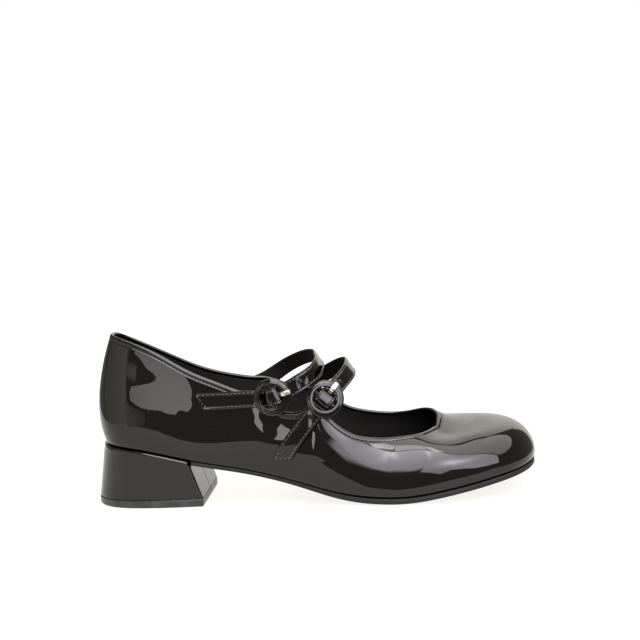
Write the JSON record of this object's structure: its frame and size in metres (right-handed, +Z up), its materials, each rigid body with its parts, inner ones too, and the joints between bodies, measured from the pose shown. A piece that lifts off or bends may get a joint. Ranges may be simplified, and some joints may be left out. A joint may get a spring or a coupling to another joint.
{
  "type": "mary jane shoe",
  "caption": "Black patent mary jane for the right foot, with buckled instep straps, a rounded toe, a thin outsole and a low flared block heel.",
  "frame": {"origin": "on the floor, under the middle of the shoe's bounding box", "axes": "+X from heel to toe, +Y towards the inner (big toe) side, +Z up"},
  "size_m": [0.2508, 0.081, 0.0978],
  "materials": {
    "patent": "mirror-gloss black patent",
    "sole": "satin black",
    "lining": "matt black",
    "covered": "gloss black",
    "metal": "polished pale gold"
  },
  "bodies": {
    "root": {"upper": "patent", "outsole": "sole", "insole": "lining", "heel_block": "patent", "top_lift": "sole", "strap_rear": "patent", "buckle_rear": "covered", "prong_rear": "metal", "strap_front": "patent", "buckle_front": "covered", "prong_front": "metal"}
  },
  "joints": []
}
